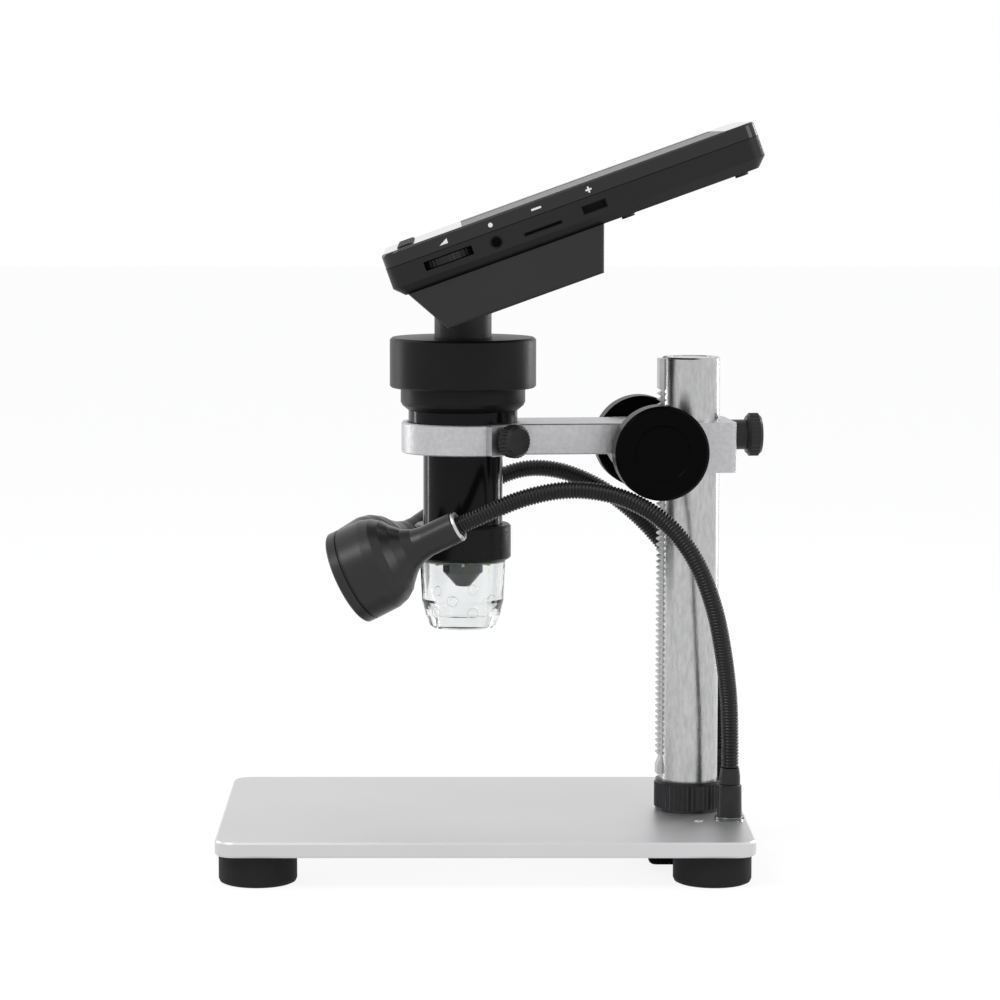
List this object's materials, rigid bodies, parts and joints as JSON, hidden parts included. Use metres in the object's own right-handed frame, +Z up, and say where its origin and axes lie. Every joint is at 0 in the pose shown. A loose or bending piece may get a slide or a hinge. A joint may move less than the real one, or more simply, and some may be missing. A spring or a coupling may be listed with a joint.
{
  "type": "digital microscope",
  "caption": "Desk microscope with a sloping display on a round tube, held in a ring arm on a toothed column, with gooseneck lamps on a flat stage plate.",
  "frame": {"origin": "centre of the stage plate's top face", "axes": "+X from the stage centre to the column, +Z up out of the stage, +Y away from the side with the ports"},
  "size_m": [0.1962, 0.13, 0.2676],
  "materials": {
    "anodised_plate": "satin bead-blasted aluminium",
    "bright_column": "bright drawn aluminium",
    "cast_arm": "satin machined aluminium",
    "steel": "plain steel",
    "black_anodised": "satin black anodised aluminium",
    "black_plastic": "fine-grained black moulding",
    "black_gloss": "gloss black moulding",
    "foot_rubber": "black rubber",
    "neck_black": "black ribbed sleeve",
    "screen": "clear screen glass",
    "panel": "dark display panel",
    "clear": "clear moulded guard",
    "lens": "coated lens",
    "frosted": "frosted lamp lens",
    "board": "green circuit board",
    "cell": "foil-wrapped battery"
  },
  "bodies": {
    "base": {"base_plate": "anodised_plate", "foot_front_near": "foot_rubber", "foot_front_far": "foot_rubber", "foot_rear_near": "foot_rubber", "foot_rear_far": "foot_rubber", "foot_screws": "steel", "wiring_cover": "black_plastic", "lamp_driver_board": "board", "column_tube": "bright_column", "column_cap": "bright_column", "column_plug": "steel", "column_bolt": "steel", "rack": "bright_column", "column_collar": "black_anodised", "lamp_socket_near": "black_anodised", "lamp_socket_far": "black_anodised", "socket_washers": "clear"},
    "lamp_near": {"swivel_near": "black_anodised", "gooseneck_near": "neck_black", "lamp_shell_near": "black_plastic", "lamp_lens_near": "frosted", "lamp_light_near": "board"},
    "lamp_far": {"swivel_far": "black_anodised", "gooseneck_far": "neck_black", "lamp_shell_far": "black_plastic", "lamp_lens_far": "frosted", "lamp_light_far": "board"},
    "carriage": {"carriage_block": "cast_arm", "ring_arm": "cast_arm", "arm_bolts": "steel", "pinion_bushes": "steel"},
    "pinion": {"pinion_shaft": "steel", "focus_knob_near": "black_plastic", "focus_knob_far": "black_plastic"},
    "lock_screw": {"lock_screw": "black_anodised"},
    "ring_screw": {"ring_screw": "black_anodised"},
    "head": {"body_tube": "black_gloss", "sensor_board": "board", "guard_cuff": "black_plastic", "guard_light_board": "board", "clear_guard": "clear", "neck_post": "black_plastic", "display_bezel": "black_gloss", "screen_glass": "screen", "lcd_panel": "panel", "display_case": "black_plastic", "port_sockets": "steel", "main_board": "board", "battery": "cell", "case_screws": "steel", "rear_box": "black_plastic"},
    "focus_ring": {"focus_ring": "black_anodised"},
    "lens": {"lens_cell": "black_plastic", "front_lens": "lens"},
    "wheel": {"dimmer_wheel": "black_plastic"},
    "button_1": {"button_1": "black_plastic"},
    "button_2": {"button_2": "black_plastic"},
    "button_3": {"button_3": "black_plastic"},
    "button_4": {"button_4": "black_plastic"},
    "button_5": {"button_5": "black_plastic"}
  },
  "joints": [
    {"name": "focus_slide", "type": "slide", "parent": "base", "child": "carriage", "axis": [0, 0, 1], "range_m": [-0.04, 0.012]},
    {"name": "focus_knob_turn", "type": "hinge", "parent": "carriage", "child": "pinion", "pos_m": [0.06028, -0.00129, 0.1334], "axis": [-0.0872, 0.9962, 0], "range_deg": [-690, 210]},
    {"name": "lock_screw_turn", "type": "hinge", "parent": "carriage", "child": "lock_screw", "pos_m": [0.08974, 0.00129, 0.1375], "axis": [0.9962, 0.0872, 0], "range_deg": [0, 360]},
    {"name": "ring_screw_turn", "type": "hinge", "parent": "carriage", "child": "ring_screw", "pos_m": [0.00794, -0.02585, 0.1375], "axis": [0.6428, -0.766, 0], "range_deg": [0, 360]},
    {"name": "head_turn", "type": "hinge", "parent": "carriage", "child": "head", "pos_m": [-0.00768, -0.00723, 0.1375], "axis": [0, 0, 1], "range_deg": [-90, 90]},
    {"name": "focus_ring_turn", "type": "hinge", "parent": "head", "child": "focus_ring", "pos_m": [-0.00768, -0.00723, 0.16], "axis": [0, 0, 1], "range_deg": [-120, 120]},
    {"name": "lens_slide", "type": "slide", "parent": "head", "child": "lens", "axis": [0, 0, 1], "range_m": [-0.0026, 0.0026]},
    {"name": "lamp_near_swing", "type": "hinge", "parent": "base", "child": "lamp_near", "pos_m": [0.0885, -0.0219, 0.0133], "axis": [0, 0, 1], "range_deg": [0, 60]},
    {"name": "lamp_far_swing", "type": "hinge", "parent": "base", "child": "lamp_far", "pos_m": [0.0885, 0.0219, 0.0133], "axis": [0, 0, 1], "range_deg": [-60, 0]},
    {"name": "dimmer_turn", "type": "hinge", "parent": "head", "child": "wheel", "pos_m": [-0.0129, -0.04003, 0.20319], "axis": [-0.3396, 0, 0.9406], "range_deg": [0, 300]},
    {"name": "button_1_press", "type": "slide", "parent": "head", "child": "button_1", "axis": [0.3396, 0, -0.9406], "range_m": [0, 0.0005], "stiffness_N_per_m": 400},
    {"name": "button_2_press", "type": "slide", "parent": "head", "child": "button_2", "axis": [0.3396, 0, -0.9406], "range_m": [0, 0.0005], "stiffness_N_per_m": 400},
    {"name": "button_3_press", "type": "slide", "parent": "head", "child": "button_3", "axis": [0.3396, 0, -0.9406], "range_m": [0, 0.0005], "stiffness_N_per_m": 400},
    {"name": "button_4_press", "type": "slide", "parent": "head", "child": "button_4", "axis": [0.3396, 0, -0.9406], "range_m": [0, 0.0005], "stiffness_N_per_m": 400},
    {"name": "button_5_press", "type": "slide", "parent": "head", "child": "button_5", "axis": [0.3396, 0, -0.9406], "range_m": [0, 0.0005], "stiffness_N_per_m": 400}
  ],
  "couplings": [
    {"joint": "focus_knob_turn", "follows": "focus_slide", "rad_per_m": 296.38},
    {"joint": "lens_slide", "follows": "focus_ring_turn", "m_per_rad": 0.00119}
  ]
}
